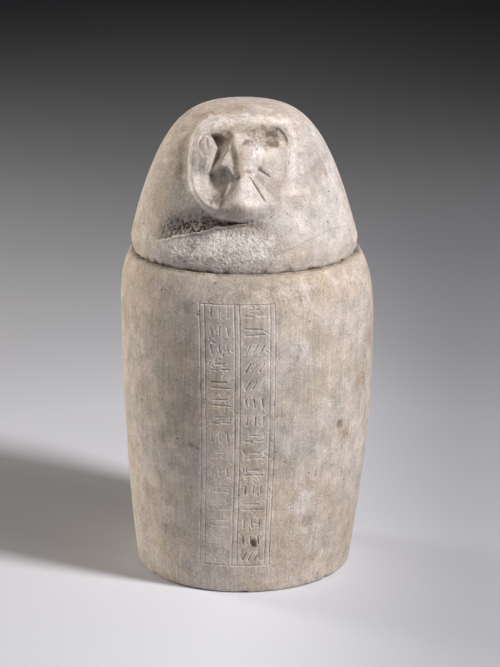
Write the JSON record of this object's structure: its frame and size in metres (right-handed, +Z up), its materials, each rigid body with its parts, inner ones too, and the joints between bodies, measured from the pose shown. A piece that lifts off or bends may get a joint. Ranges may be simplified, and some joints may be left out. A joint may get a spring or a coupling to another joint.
{
  "type": "canopic jar",
  "caption": "Hollow limestone canopic jar with an incised front panel and a lift-off lid carved as a falcon's head.",
  "frame": {"origin": "centre of the jar's flat foot, on the surface it stands on", "axes": "+Z up along the jar's axis, through the falcon's crown; -Y the way the falcon and the incised panel face; +X to the right of someone looking at the face"},
  "size_m": [0.1602, 0.1602, 0.3],
  "materials": {
    "jar_limestone": "matte",
    "lid_limestone": "matte"
  },
  "bodies": {
    "root": {"jar": "jar_limestone", "lid": "lid_limestone"}
  },
  "joints": []
}
